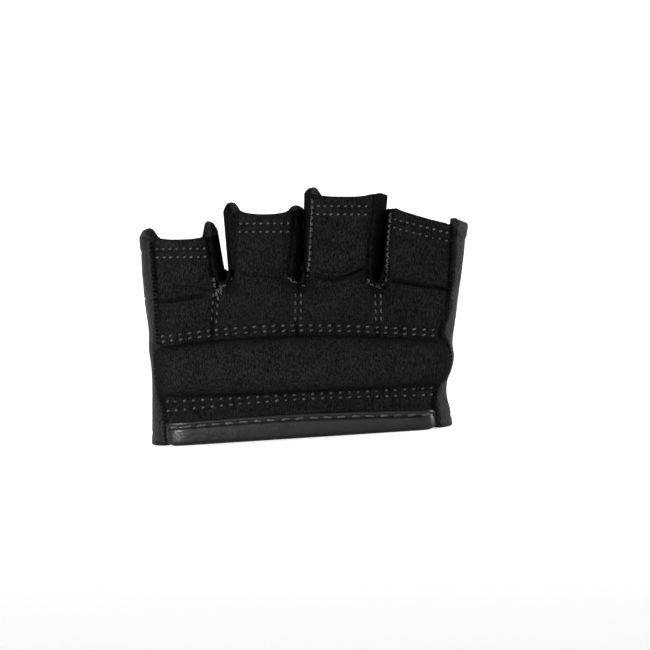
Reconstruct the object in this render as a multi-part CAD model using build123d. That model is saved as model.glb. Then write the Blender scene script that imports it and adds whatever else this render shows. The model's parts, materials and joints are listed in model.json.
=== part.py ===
"""Padded palm grip for a right hand: a fabric palm, a leather back and four short finger stalls.

Millimetres. +Z points to the fingertips, -Y out of the palm and +X to the thumb side. The origin is the
middle of the wrist opening, at the hem that the grip stands on. The fingers lean towards the thumb, so the
stalls are drawn in a finger frame, the main frame turned by FINGER_LEAN about Y; its axes are called u
(across) and w (along).
"""

from build123d import *
from math import cos, radians, sin, sqrt
import os

# ---- driving dimensions --------------------------------------------------------------------------
FINGER_LEAN = 4.0  # degrees that the finger direction leans towards +X
FRONT_Y = -14.0  # outer face of the palm fabric, flat from hem to fingertips
STALL_BACK_Y = 7.5  # outer face of the back on the stalls
PANEL = 1.6  # thickness of the palm fabric and of the back leather
LINING = 0.6
BINDING = 0.9

CROTCH_W = 48.0  # height in the finger frame where the sleeve divides into stalls
MID_Z = 30.0  # height of the middle section
OVERRUN = 2.0  # solids run this far past a face before they are trimmed to it
# Sections of the sleeve: left edge, right edge, outer face of the back, corner radius.
HEM = (-47.4, 47.2, 14.2, 12.0)  # level, just below the hem
MID = (-46.0, 49.8, 10.6, 11.0)  # level, at the top of the palm pad
TOP = (-49.6, 49.3, 8.5, 9.0)  # across the fingers, just above the crotch line

SEAM_LEFT = -42.8  # side seams between the palm fabric and the back, left straight and right leaning
SEAM_RIGHT_HEM, SEAM_RIGHT_TOP = 42.1, 48.0
FRONT_SEAM_Y = -3.0  # the palm fabric is cut from the part of the sleeve in front of this plane
GUSSET_BACK_Y = 3.0  # back edge of the gussets between the fingers

STALL_CORNER = 8.0
HINGE_GAP = 0.3  # slit between a stall and the body at the knuckle fold

# Each stall: outer edges at the crotch and at the rim, the palm seams at those two heights, the fold line,
# the rim's height in front and at its two back corners, how much the rim climbs per millimetre across, and
# which sides have a gusset.
STALLS = {
    "little": dict(
        left=(-49.6, -51.0), right=(-23.9, -27.2), seam_left=(-45.7, -46.5), seam_right=(-27.4, -29.1),
        fold=52.0, rim_front=61.4, rim_back=66.2, rim_tilt=0.06, gussets=("right",),
    ),
    "ring": dict(
        left=(-23.4, -24.8), right=(-1.0, -0.4), seam_left=(-21.6, -20.9), seam_right=(-3.4, -2.6),
        fold=54.0, rim_front=69.3, rim_back=73.0, rim_tilt=0.03, gussets=("left", "right"),
    ),
    "middle": dict(
        left=(0.0, 0.6), right=(23.4, 24.3), seam_left=(1.9, 3.0), seam_right=(20.4, 22.3),
        fold=54.0, rim_front=74.9, rim_back=77.6, rim_tilt=-0.04, gussets=("left", "right"),
    ),
    "index": dict(
        left=(24.7, 26.3), right=(49.3, 51.4), seam_left=(26.2, 27.9), seam_right=(45.7, 46.0),
        fold=53.5, rim_front=68.4, rim_back=70.2, rim_tilt=-0.13, gussets=("left",),
    ),
}
RIM_W = 70.0  # the stall edges above are given at CROTCH_W and at this height
SCOOP_DIP = 1.0  # between its back corners the rim is scooped out to this far below its height in front
SCOOP_FOOT, SCOOP_MOUTH = 6.0, 9.6  # half width of the scoop at its bottom and at the corners

PAD_FRONT_Y = -20.8  # crown of the palm pad
PAD_BOTTOM = 14.0
PAD_TOP_LEFT, PAD_TOP_CREST, PAD_TOP_RIGHT = 31.4, 33.0, 28.4
PAD_LEFT, PAD_RIGHT, PAD_RIGHT_BULGE = -43.4, 42.4, 46.6
PAD_CREST_X, PAD_BULGE_Z = -8.0, 21.0
PAD_COVER = 1.2
PAD_ROUND, PAD_CORNER = 4.2, 4.6

KNUCKLE_LENGTH, KNUCKLE_HEIGHT, KNUCKLE_RISE = 82.0, 25.0, 7.0
KNUCKLE_X, KNUCKLE_Z = 2.5, 29.0
KNUCKLE_COVER = 1.3
KNUCKLE_ROUND, KNUCKLE_CORNER = 4.5, 8.0

BINDING_HEIGHT = 6.6

THREAD_R = 0.32
LIFT = THREAD_R + 0.08  # a thread's centre line stands this far off the cloth
STITCH = 1.7  # length of one visible stitch
PITCH = 2.5  # distance from one stitch to the next
BINDING_PITCH = 3.5

# ---- frames and helpers --------------------------------------------------------------------------
LEAN_SIN, LEAN_COS = sin(radians(FINGER_LEAN)), cos(radians(FINGER_LEAN))
FINGER_FRAME = Rot(0, FINGER_LEAN, 0)


def finger_plane(w):
    """The plane across the fingers at height w in the finger frame."""
    axis = Vector(LEAN_SIN, 0, LEAN_COS)
    return Plane(origin=axis * w, x_dir=(LEAN_COS, 0, -LEAN_SIN), z_dir=axis)


def section(plane, left, right, back, corner, grow):
    """A rounded rectangle grown by grow, the outline that every cross-section of the sleeve has."""
    front = FRONT_Y
    centre = Pos((left + right) / 2, (front + back) / 2)
    outline = RectangleRounded(right - left + 2 * grow, back - front + 2 * grow, corner + grow)
    return plane * centre * outline


def prism(points, y_to=40):
    """A prism along Y, from in front of everything back to y_to, whose outline is a polygon in X and Z."""
    front = -40
    plane = Plane(origin=(0, front, 0), x_dir=(1, 0, 0), z_dir=(0, -1, 0))
    face = plane * make_face(Polyline(*points, close=True).edges())
    return extrude(face, amount=y_to - front, dir=(0, 1, 0))


def at(pair, w):
    """A stall edge's place across the hand at height w, from its places at the crotch and at the rim."""
    low, high = pair
    return low + (high - low) * (w - CROTCH_W) / (RIM_W - CROTCH_W)


def one(shape):
    """The largest solid of a shape: a cut can leave slivers that are not part of the piece."""
    return max(shape.solids(), key=lambda s: s.volume)


def save(node, shape):
    """Writes one named sub-part."""
    shape.label = node
    export_step(shape, f"parts/{node}.step")


# ---- body sleeve ---------------------------------------------------------------------------------
def body_solid(grow=0.0):
    """The closed form of the palm sleeve, grown outwards by grow. It overruns the hem and the crotch line."""
    sections = [
        section(Plane.XY.offset(-OVERRUN), *HEM, grow),
        section(Plane.XY.offset(MID_Z), *MID, grow),
        section(finger_plane(CROTCH_W + OVERRUN), *TOP, grow),
    ]
    return loft(sections, ruled=True)


def body_band(z_low, w_high):
    """Everything between the height z_low, which is level, and w_high, which is across the fingers."""
    far = 90
    upper = [(u * LEAN_COS + w_high * LEAN_SIN, w_high * LEAN_COS - u * LEAN_SIN) for u in (far, -far)]
    return prism([(-far, z_low), (far, z_low), *upper])


def body_at(x, z):
    """The sleeve's section near a place on it: left edge, right edge, face of the back, corner radius."""
    low, high, share = HEM, MID, (z + OVERRUN) / (MID_Z + OVERRUN)
    if z > MID_Z:
        top_w = CROTCH_W + OVERRUN
        top_z = (top_w - x * LEAN_SIN) / LEAN_COS
        left, right, back, corner = TOP
        low, share = MID, (z - MID_Z) / (top_z - MID_Z)
        high = (left + top_w * LEAN_SIN, right + top_w * LEAN_SIN, back, corner)
    return [a + (b - a) * share for a, b in zip(low, high)]


def front_y(across, left, right, corner, lift):
    """Depth at a place on the palm side of a rounded section, lift in front of its face."""
    past = max(left + corner - across, across - (right - corner), 0)
    return FRONT_Y + corner - sqrt((corner + lift) ** 2 - past**2)


def palm_cut():
    """The part of the sleeve that the palm fabric covers, as a prism between the two side seams."""
    top = CROTCH_W + OVERRUN
    outline = [
        (SEAM_LEFT, -OVERRUN), (SEAM_RIGHT_HEM, -OVERRUN),
        (SEAM_RIGHT_TOP, top), (SEAM_LEFT, top),
    ]
    return prism(outline, FRONT_SEAM_Y)


# ---- stalls --------------------------------------------------------------------------------------
def stall_solid(stall, grow=0.0):
    """A finger stall's closed form from below the crotch to above its rim, in the finger frame."""
    sections = []
    for w in (CROTCH_W, stall["rim_back"] + 3 * OVERRUN):
        edges = at(stall["left"], w), at(stall["right"], w)
        sections.append(section(Plane.XY.offset(w), *edges, STALL_BACK_Y, STALL_CORNER, grow))
    return loft(sections, ruled=True)


def rim_plane(stall):
    """The plane that a stall's opening lies in: higher behind than in front, and tilted across."""
    middle = (stall["left"][1] + stall["right"][1]) / 2
    climb = (stall["rim_back"] - stall["rim_front"]) / (STALL_BACK_Y - FRONT_Y)
    return Plane(
        origin=(middle, FRONT_Y, stall["rim_front"]),
        x_dir=(1, 0, stall["rim_tilt"]),
        z_dir=Vector(1, 0, stall["rim_tilt"]).cross(Vector(0, 1, climb)),
    )


def palm_strip(stall):
    """The prism between a stall's two palm seams."""
    high = stall["rim_back"] + 4 * OVERRUN
    low = CROTCH_W - OVERRUN
    outline = [
        (at(stall["seam_left"], low), low), (at(stall["seam_right"], low), low),
        (at(stall["seam_right"], high), high), (at(stall["seam_left"], high), high),
    ]
    return prism(outline, FRONT_SEAM_Y)


def gusset_block(stall, side):
    """The region of one side wall, from the palm seam back to the gusset's back edge."""
    low, high = CROTCH_W - OVERRUN, stall["rim_back"] + 4 * OVERRUN
    middle = (stall["left"][0] + stall["right"][0]) / 2
    far = -90 if side == "left" else 90
    return prism([(middle, low), (far, low), (far, high), (middle, high)], GUSSET_BACK_Y)


def web_plate(left, right):
    """The floor of the notch between two stalls, from the palm to the back, in the finger frame."""
    low_u, high_u = left["seam_right"][0], right["seam_left"][0]
    depth = STALL_BACK_Y - FRONT_Y
    place = Pos((low_u + high_u) / 2, (FRONT_Y + STALL_BACK_Y) / 2, CROTCH_W + PANEL / 2)
    return place * Box(high_u - low_u, depth, PANEL) - stall_solid(left) - stall_solid(right)


def rim_scoop(stall):
    """What is cut from the back of a stall's rim, between its corners, so that the finger can straighten."""
    middle = (stall["left"][1] + stall["right"][1]) / 2
    low, high = stall["rim_front"] - SCOOP_DIP, stall["rim_back"]
    spread = (SCOOP_MOUTH - SCOOP_FOOT) / (high - low)
    top = high + 2 * OVERRUN
    mouth = SCOOP_FOOT + spread * (top - low)
    tilt = stall["rim_tilt"] * SCOOP_FOOT
    outline = [
        (middle - SCOOP_FOOT, low - tilt), (middle + SCOOP_FOOT, low + tilt),
        (middle + mouth, top), (middle - mouth, top),
    ]
    return prism(outline) - prism(outline, GUSSET_BACK_Y)


def w_slab(low, high):
    """Everything between two finger-frame heights."""
    return Pos(0, 0, (low + high) / 2) * Box(240, 80, high - low)


def stall_pieces(stall):
    """The stall cut into its cloth pieces: {'palm', 'back', 'left', 'right'}, each in full height."""
    shell = stall_solid(stall) - stall_solid(stall, -PANEL)
    shell = split(shell, bisect_by=rim_plane(stall), keep=Keep.BOTTOM) - rim_scoop(stall)
    strip = palm_strip(stall)
    pieces = {"palm": shell & strip}
    rest = shell - strip
    for side in stall["gussets"]:
        block = gusset_block(stall, side)
        pieces[side] = rest & block
        rest = rest - block
    pieces["back"] = rest
    return pieces


# ---- pads ----------------------------------------------------------------------------------------
def pad_outline():
    """The palm pad seen from the front: level below, arched above, and rounded at the thumb end."""
    left = Line((PAD_LEFT, PAD_BOTTOM), (PAD_LEFT, PAD_TOP_LEFT))
    top = ThreePointArc((PAD_LEFT, PAD_TOP_LEFT), (PAD_CREST_X, PAD_TOP_CREST), (PAD_RIGHT, PAD_TOP_RIGHT))
    bulge = ThreePointArc((PAD_RIGHT, PAD_TOP_RIGHT), (PAD_RIGHT_BULGE, PAD_BULGE_Z), (PAD_RIGHT, PAD_BOTTOM))
    bottom = Line((PAD_RIGHT, PAD_BOTTOM), (PAD_LEFT, PAD_BOTTOM))
    face = make_face([left, top, bulge, bottom])
    left_corners = face.vertices().sort_by(Axis.X)[:2]
    return fillet(left_corners, PAD_CORNER)


def pad_block(shrink, rounding):
    """The pad's closed form, shrunk inwards by shrink, from well inside the sleeve out to its crown."""
    plane = Plane(origin=(0, FRONT_SEAM_Y - 2, 0), x_dir=(1, 0, 0), z_dir=(0, -1, 0))
    outline = pad_outline() if shrink == 0 else offset(pad_outline(), -shrink)
    depth = FRONT_SEAM_Y - 2 - (PAD_FRONT_Y + shrink)
    block = extrude(plane * outline, amount=depth, dir=(0, -1, 0))
    return fillet(block.faces().sort_by(Axis.Y)[0].edges(), rounding)


def back_plane():
    """The plane of the sleeve's back, which slopes forward towards the fingers."""
    slope = (HEM[2] - TOP[2]) / CROTCH_W
    y = body_at(KNUCKLE_X, KNUCKLE_Z)[2]
    return Plane(origin=(KNUCKLE_X, y, KNUCKLE_Z), x_dir=(LEAN_COS, 0, -LEAN_SIN), z_dir=(0, 1, slope))


def knuckle_block(shrink, rounding):
    """The knuckle pad's closed form on the back, sunk into the sleeve so that it can be trimmed to it."""
    sunk = 3.0
    outline = RectangleRounded(
        KNUCKLE_LENGTH - 2 * shrink, KNUCKLE_HEIGHT - 2 * shrink, KNUCKLE_CORNER - shrink
    )
    block = extrude(back_plane().offset(-sunk) * outline, amount=KNUCKLE_RISE - shrink + sunk)
    crown = block.faces().sort_by(Axis.Y)[-1]
    return fillet(crown.edges(), rounding)


# ---- threads -------------------------------------------------------------------------------------
def palm_point(x, z, lift=LIFT):
    """A place just in front of the palm side of the sleeve."""
    left, right, back, corner = body_at(x, z)
    return x, front_y(x, left, right, corner, lift), z


def stitch(start, end):
    """One stitch: a short thread from start to end."""
    start, end = Vector(*start), Vector(*end)
    direction = end - start
    align = (Align.CENTER, Align.CENTER, Align.MIN)
    return Plane(origin=start, z_dir=direction) * Cylinder(THREAD_R, direction.length, align=align)


def row(path, length, pitch=PITCH, size=STITCH):
    """A row of stitches along path, a function from distance to a point, centred in its length."""
    count = int((length - size) // pitch) + 1
    first = (length - (count - 1) * pitch - size) / 2
    return [stitch(path(first + i * pitch), path(first + i * pitch + size)) for i in range(count)]


def palm_row(height, lift=LIFT, **spacing):
    """A row from side seam to side seam at height(x), lying on the palm side of the sleeve."""
    left, right = SEAM_LEFT + 1.2, SEAM_RIGHT_HEM - 1.0
    return row(lambda s: palm_point(left + s, height(left + s), lift), right - left, **spacing)


def pad_top(x):
    """Height of the palm pad's arched upper edge at x."""
    if x < PAD_CREST_X:
        past = (PAD_CREST_X - x) / (PAD_CREST_X - PAD_LEFT)
        return PAD_TOP_CREST - (PAD_TOP_CREST - PAD_TOP_LEFT) * past**2
    past = (x - PAD_CREST_X) / (PAD_RIGHT - PAD_CREST_X)
    return PAD_TOP_CREST - (PAD_TOP_CREST - PAD_TOP_RIGHT) * past**1.6


def hem_rows(stall):
    """Two rows below a stall's rim on the palm side and one on its back, in the finger frame."""
    threads = []
    middle = (stall["left"][1] + stall["right"][1]) / 2
    start, end = stall["seam_left"][1] + 1.2, stall["seam_right"][1] - 1.2
    for drop in (2.8, 5.3):

        def palm_side(s, drop=drop):
            u = start + s
            w = stall["rim_front"] - drop + stall["rim_tilt"] * (u - middle)
            return u, front_y(u, at(stall["left"], w), at(stall["right"], w), STALL_CORNER, LIFT), w

        threads += row(palm_side, end - start, pitch=2.1, size=1.3)
    w = stall["rim_front"] - SCOOP_DIP - 4.2
    first = at(stall["left"], w) + STALL_CORNER - 1
    length = at(stall["right"], w) - STALL_CORNER + 1 - first
    threads += row(lambda s: (first + s, STALL_BACK_Y + LIFT, w), length)
    return threads


# ---- assembly ------------------------------------------------------------------------------------
NEIGHBOURS = [("little", "ring"), ("ring", "middle"), ("middle", "index")]


def build():
    """Makes every sub-part as {node: shape}."""
    nodes = {}
    outer, inner = body_solid(), body_solid(-PANEL)
    body_shell = (outer - inner) & body_band(0, CROTCH_W)
    palm_region = palm_cut()
    palm_body = one((body_shell & palm_region) & body_band(BINDING, CROTCH_W))
    back_body = one(body_shell - palm_region)

    stubs = {}
    for name, stall in STALLS.items():
        pieces = stall_pieces(stall)
        low_slab = w_slab(CROTCH_W, stall["fold"] - HINGE_GAP / 2)
        high_slab = w_slab(stall["fold"] + HINGE_GAP / 2, 100)
        stubs[name] = {key: FINGER_FRAME * one(piece & low_slab) for key, piece in pieces.items()}
        for key, piece in pieces.items():
            node = f"{name}_{key}_gusset" if key in ("left", "right") else f"{name}_{key}_sleeve"
            nodes[node] = FINGER_FRAME * one(piece & high_slab)
        nodes[f"{name}_hem_stitches"] = Compound(children=[FINGER_FRAME * s for s in hem_rows(stall)])

    nodes["palm_panel"] = palm_body + [stub["palm"] for stub in stubs.values()]
    nodes["back_panel"] = back_body + [stub["back"] for stub in stubs.values()]
    for left, right in NEIGHBOURS:
        # A web is the floor of the notch with the foot of the gusset on either side of it.
        plate = FINGER_FRAME * web_plate(STALLS[left], STALLS[right])
        nodes[f"{left}_{right}_web"] = one(plate + stubs[left]["right"] + stubs[right]["left"])

    lining = (inner - body_solid(-PANEL - LINING)) & body_band(BINDING, CROTCH_W - 1)
    nodes["back_lining"] = one(lining - palm_region)

    wrapped = (body_solid(BINDING) - body_solid(-PANEL - BINDING)) & body_band(0, 90)
    wrapped = wrapped & (Pos(0, 0, BINDING_HEIGHT / 2) * Box(200, 80, BINDING_HEIGHT))
    nodes["palm_hem_binding"] = one((wrapped & palm_region) - palm_body)

    pad_core = pad_block(PAD_COVER, PAD_ROUND - PAD_COVER)
    nodes["palm_pad_cover"] = one(pad_block(0, PAD_ROUND) - pad_core - outer)
    nodes["palm_pad_foam"] = one(pad_core - outer)
    knuckle_core = knuckle_block(KNUCKLE_COVER, KNUCKLE_ROUND - KNUCKLE_COVER)
    nodes["knuckle_pad_cover"] = one(knuckle_block(0, KNUCKLE_ROUND) - knuckle_core - outer)
    nodes["knuckle_pad_foam"] = one(knuckle_core - outer)

    nodes.update(thread_groups())
    return nodes


def knuckle_stitches():
    """The row that runs round the knuckle pad, along its straight sides."""
    threads = []
    plane = back_plane()
    half_u, half_w = KNUCKLE_LENGTH / 2 + 1.5, KNUCKLE_HEIGHT / 2 + 1.5
    flat_u, flat_w = half_u - KNUCKLE_CORNER, half_w - KNUCKLE_CORNER

    def on_back(u, w):
        place = plane.from_local_coords((u, w, 0))
        return place.X, body_at(place.X, place.Z)[2] + LIFT, place.Z

    for side in (-1, 1):
        threads += row(lambda s: on_back(s - flat_u, side * half_w), 2 * flat_u)
        threads += row(lambda s: on_back(side * half_u, s - flat_w), 2 * flat_w)
    return threads


def notch_stitches(left, right):
    """Two rows down from the notch between two stalls, and the overlocked edge under it (finger frame)."""
    centre = (left["seam_right"][0] + right["seam_left"][0]) / 2
    y = FRONT_Y - LIFT
    channel, overlock = [], []
    for aside in (-0.75, 0.75):
        u = centre + aside
        channel += row(lambda s: (u - 0.05 * s, y, CROTCH_W - 2.5 - s), 10.0)
    reach = centre - left["seam_right"][0] + 0.5
    for turn in range(-75, 76, 25):
        u, w = reach * sin(radians(turn)), reach * cos(radians(turn))
        start = (centre + u, y, CROTCH_W - w)
        end = (centre + 1.4 * u, y, CROTCH_W - 1.4 * w)
        overlock.append(stitch(start, end))
    return channel, overlock


def thread_groups():
    """Every row of stitches on the body, one node for each seam."""
    groups = {
        "pad_upper_stitches": palm_row(lambda x: pad_top(x) + 0.8) + palm_row(lambda x: pad_top(x) + 2.4),
        "pad_lower_stitches": palm_row(lambda x: PAD_BOTTOM - 0.8) + palm_row(lambda x: PAD_BOTTOM - 2.5),
        "hem_binding_stitches": palm_row(
            lambda x: BINDING_HEIGHT - 1.2, lift=BINDING + LIFT, pitch=BINDING_PITCH, size=2.2
        ),
        "channel_stitches": [],
        "web_overlock_stitches": [],
        "knuckle_pad_stitches": knuckle_stitches(),
    }
    for left, right in NEIGHBOURS:
        channel, overlock = notch_stitches(STALLS[left], STALLS[right])
        groups["channel_stitches"] += [FINGER_FRAME * s for s in channel]
        groups["web_overlock_stitches"] += [FINGER_FRAME * s for s in overlock]

    def back_hem(s):
        x = HEM[0] + HEM[3] + s
        return x, body_at(x, 3.5)[2] + LIFT, 3.5

    groups["back_hem_stitches"] = row(back_hem, HEM[1] - HEM[0] - 2 * HEM[3])
    return {node: Compound(children=threads) for node, threads in groups.items()}


os.makedirs("parts", exist_ok=True)
for node_name, node_shape in build().items():
    save(node_name, node_shape)
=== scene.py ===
"""Looks of the padded palm grip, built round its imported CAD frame.

Lengths are in millimetres until a mesh is made. Two frames are used: the row frame (x, y, z), and the finger
frame (u, y, w), which is the row frame turned about y so that w runs along the fingers and u across them.
The palm faces -y, the little finger is on the left (-x) and the thumb on the right.
"""

import json
import math
import random
from functools import partial

import bmesh
import bpy
import numpy as np
from mathutils import Matrix, Vector, noise


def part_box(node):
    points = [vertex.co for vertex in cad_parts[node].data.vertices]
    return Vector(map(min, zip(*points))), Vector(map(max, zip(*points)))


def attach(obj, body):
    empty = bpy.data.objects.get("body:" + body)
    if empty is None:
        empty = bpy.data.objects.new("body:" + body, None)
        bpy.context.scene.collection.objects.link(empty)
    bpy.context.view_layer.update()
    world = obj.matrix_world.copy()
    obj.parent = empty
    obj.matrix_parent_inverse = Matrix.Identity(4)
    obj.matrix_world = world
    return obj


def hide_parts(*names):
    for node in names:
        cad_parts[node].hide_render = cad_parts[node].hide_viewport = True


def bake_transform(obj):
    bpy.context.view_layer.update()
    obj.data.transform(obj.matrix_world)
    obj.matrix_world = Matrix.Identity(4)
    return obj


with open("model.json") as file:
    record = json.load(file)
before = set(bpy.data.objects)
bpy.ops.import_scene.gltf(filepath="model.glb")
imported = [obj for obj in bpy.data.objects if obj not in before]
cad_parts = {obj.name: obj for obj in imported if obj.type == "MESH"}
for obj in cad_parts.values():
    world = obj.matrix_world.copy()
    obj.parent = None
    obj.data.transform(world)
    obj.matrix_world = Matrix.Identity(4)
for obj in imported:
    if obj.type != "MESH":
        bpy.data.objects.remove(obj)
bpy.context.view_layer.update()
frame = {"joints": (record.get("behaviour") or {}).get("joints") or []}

MM = 0.001
LEFT, RIGHT = -1, 1
PALM_SIDE, BACK_SIDE = -1, 1
JOINTS = {joint["child"]: joint for joint in frame["joints"]}
FINGERS = ("little", "ring", "middle", "index")
NEIGHBOURS = list(zip(FINGERS[:-1], FINGERS[1:]))
OUTER_SIDE = {"little": LEFT, "index": RIGHT}  # the stalls that have a side seam, and where
LEAN_COS, LEAN_SIN = JOINTS["ring_stall"]["axis"][0], -JOINTS["ring_stall"]["axis"][2]
FRONT_Y = JOINTS["ring_stall"]["pos_m"][1] / MM  # face of the palm fabric, where the folds turn


def to_row(u, y, w):
    """Row-frame points of finger-frame coordinates."""
    u, y, w = np.broadcast_arrays(np.asarray(u, float), y, w)
    return np.stack([u * LEAN_COS + w * LEAN_SIN, y, w * LEAN_COS - u * LEAN_SIN], -1)


def to_finger(x, z):
    """Finger-frame (u, w) of a place in the row frame."""
    return x * LEAN_COS - z * LEAN_SIN, x * LEAN_SIN + z * LEAN_COS


def smooth(t):
    """0 to 1 with a soft start and end."""
    t = np.clip(t, 0, 1)
    return t * t * (3 - 2 * t)


def through(knots, at):
    """Value at a place on a smooth curve through (place, value) knots."""
    place, value = np.array(knots, float).T
    slope = np.gradient(value, place)
    x = np.clip(at, place[0], place[-1])
    i = np.clip(np.searchsorted(place, x) - 1, 0, len(place) - 2)
    step = place[i + 1] - place[i]
    t = (x - place[i]) / step
    a, b = value[i], value[i + 1]
    rise, fall = slope[i] * step, slope[i + 1] * step
    return a + t * rise + t * t * (3 * (b - a) - 2 * rise - fall) + t**3 * (2 * (a - b) + rise + fall)


def wobble(points, size, seed):
    """Smooth random height, about -1 to 1, at each point, with bumps about size across."""
    flat = np.asarray(points, float).reshape(-1, 3) / size + seed
    values = [noise.noise(Vector(p)) for p in flat]
    return np.array(values).reshape(np.asarray(points).shape[:-1])


def groove(distance, width=0.55):
    """1 on a line, fading to 0 at a few widths from it."""
    return np.exp(-((distance / width) ** 2))


# ---- shape of the sleeve ----
BODY_EDGE = {
    LEFT: [
        (0, -47.6), (5, -47.1), (12, -46.5), (24, -46.0), (30, -46.4), (35, -46.0), (45, -46.6), (60, -46.9),
    ],
    RIGHT: [
        (0, 47.4), (5, 47.0), (10, 46.1), (14, 46.5), (18, 48.2), (22, 49.1), (25, 48.9), (32, 50.0),
        (46, 52.7), (61, 55.6),
    ],
}
BODY_BACK = [(0, 14.0), (30, 10.6), (48, 8.5)]
BODY_CAP = [(0, 13.0), (30, 12.0), (48, 10.0)]  # how far in from the edge the sleeve starts to turn
CAP_POWER = 2.15
CROWN, CROWN_REACH = 0.5, 45  # the palm and the back stand this far out of flat in the middle

SIDE_SEAM = {
    LEFT: [
        (0, -42.5), (5, -42.7), (12, -43.2), (18, -44.2), (24, -44.6), (29, -44.2), (33, -43.4), (54, -43.1),
    ],
    RIGHT: [
        (0, 42.5), (6, 42.1), (12, 43.1), (16, 45.6), (21, 48.0), (26, 47.3), (29.5, 45.5), (35, 47.8),
        (44, 49.4), (60, 51.1),
    ],
}

PAD_TOP = [(-44, 31.7), (-20, 33.0), (0, 32.7), (18, 31.3), (33, 29.6), (47, 27.9)]
PAD_BOTTOM = [(-44, 14.8), (-22, 14.2), (0, 13.9), (47, 13.1)]
LOW_ROWS = (
    [(-44, 14.0), (0, 13.5), (47, 12.8)],
    [(-44, 10.9), (-20, 11.9), (0, 12.2), (20, 11.7), (44, 10.7)],
)
BINDING_TOP = [(-44, 7.0), (0, 7.4), (18, 6.9), (44, 5.8)]

CHANNELS = {  # middle of the double stitch row on each finger's right, in the finger frame
    "little": [(33, -27.8), (44.5, -27.0)],
    "ring": [(33, -1.45), (47.0, -1.5)],
    "middle": [(33, 23.6), (46.5, 23.1)],
}
TUBE_BACK_Y = 7.5
TUBE_MIDDLE_Y = (FRONT_Y + TUBE_BACK_Y) / 2
TUBE_HALF_Y = (TUBE_BACK_Y - FRONT_Y) / 2
TUBE_POWER = 2.7
TUBE_LOW, TUBE_HIGH = 48.0, 70.0  # heights at which the tube edges below are given
BODY_ENDS, TUBE_STARTS = 43.5, 50.5  # the sleeve turns from one body into four tubes between these heights

# A stall's rise is how far its rim stands up at the palm seam, on the wall and at the back corner.
# Its seams are (height, place across) knots. Its creases are (place across, height) knots with a depth.
STALLS = {
    "little": dict(
        left=(-50.2, -51.6), right=(-23.9, -27.8), rim=61.1, rim_tilt=0.015, dip=1.05,
        left_rise=(0.2, 0.6, 2.8), right_rise=(0.0, 1.7, 5.0),
        seam_left=[(33, -45.7), (48, -46.6), (52, -46.8), (61.5, -47.7)],
        seam_right=[(33, -27.8), (44.5, -27.0), (47.5, -27.0), (51, -27.6), (62, -29.2), (68, -29.6)],
        creases=[([(-46, 42.0), (-38, 43.0), (-30, 44.2)], 0.85), ([(-40, 47.5), (-31, 47.0)], 0.25)],
    ),
    "ring": dict(
        left=(-23.2, -25.2), right=(-0.3, 0.08), rim=69.1, rim_tilt=0.01, dip=1.3,
        left_rise=(0.0, 0.3, 2.9), right_rise=(0.2, 0.9, 1.9),
        seam_left=[
            (33, -27.8), (44.5, -27.0), (46.5, -25.6), (49, -23.0), (52, -22.3), (62, -21.8), (74, -21.2),
        ],
        seam_right=[
            (33, -1.45), (48.1, -1.5), (48.5, -2.5), (49.2, -3.4), (50.4, -3.9), (52, -4.0), (58, -3.2),
            (74, -2.4),
        ],
        creases=[([(-20, 51.2), (-13, 50.6), (-5, 49.6)], 0.5), ([(-17, 53.3), (-6, 52.3)], 0.3)],
    ),
    "middle": dict(
        left=(-0.36, 0.02), right=(23.92, 25.87), rim=74.6, rim_tilt=0.0, dip=0.8,
        left_rise=(0.5, 1.1, 2.6), right_rise=(1.1, 0.3, 0.8),
        seam_left=[
            (33, -1.45), (48.1, -1.5), (48.5, -0.6), (49.2, 0.3), (50.4, 0.8), (52, 1.1), (62, 1.8),
            (78, 2.5),
        ],
        seam_right=[
            (33, 23.6), (47.1, 23.1), (47.5, 22.1), (48.2, 21.2), (49.4, 20.7), (52, 20.6), (62, 21.2),
            (78, 22.3),
        ],
        creases=[([(3, 50.6), (11, 49.6), (20, 53.2)], 1.05), ([(4, 52.4), (10, 51.9), (16, 53.2)], 0.35)],
    ),
    "index": dict(
        left=(23.87, 25.82), right=(49.2, 51.6), rim=68.5, rim_tilt=-0.2, dip=0.3,
        left_rise=(0.0, 0.1, 0.3), right_rise=(1.4, 0.5, -0.3),
        seam_left=[
            (33, 23.6), (47.1, 23.1), (47.5, 24.0), (48.2, 24.8), (49.4, 25.3), (52, 25.5), (62, 26.0),
            (72, 26.8),
        ],
        seam_right=[(33, 43.4), (35, 44.0), (38, 45.2), (42, 45.5), (48, 46.2), (55, 46.5), (64, 46.8)],
        creases=[([(27, 49.3), (36, 47.9), (46, 46.2)], 1.2), ([(37, 62.4), (46, 61.9)], 0.35)],
    ),
}


def body_y(x, z, face):
    """Depth of the sleeve at (x, z) on its palm or its back, away from the stalls."""
    left, right = through(BODY_EDGE[LEFT], z), through(BODY_EDGE[RIGHT], z)
    back, cap = through(BODY_BACK, z), through(BODY_CAP, z)
    past = np.maximum(np.maximum(left + cap - x, x - (right - cap)), 0) / cap
    bulge = (back - FRONT_Y) / 2 * (1 - np.minimum(past, 0.999) ** CAP_POWER) ** (1 / CAP_POWER)
    crown = CROWN * (1 - np.clip((x - (left + right) / 2) / CROWN_REACH, -1, 1) ** 2)
    return (back + FRONT_Y) / 2 + face * (bulge + crown)


def tube(stall, w):
    """Middle and half width of a stall's tube at height w."""
    share = (np.asarray(w, float) - TUBE_LOW) / (TUBE_HIGH - TUBE_LOW)
    left, right = (low + (high - low) * share for low, high in (stall["left"], stall["right"]))
    return (left + right) / 2, (right - left) / 2


def tube_front_y(stall, u, w):
    """Depth of a tube's palm face at (u, w)."""
    middle, half = tube(stall, w)
    aside = np.minimum(np.abs((u - middle) / half), 0.93)
    return TUBE_MIDDLE_Y - TUBE_HALF_Y * (1 - aside**TUBE_POWER) ** (1 / TUBE_POWER)


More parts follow.
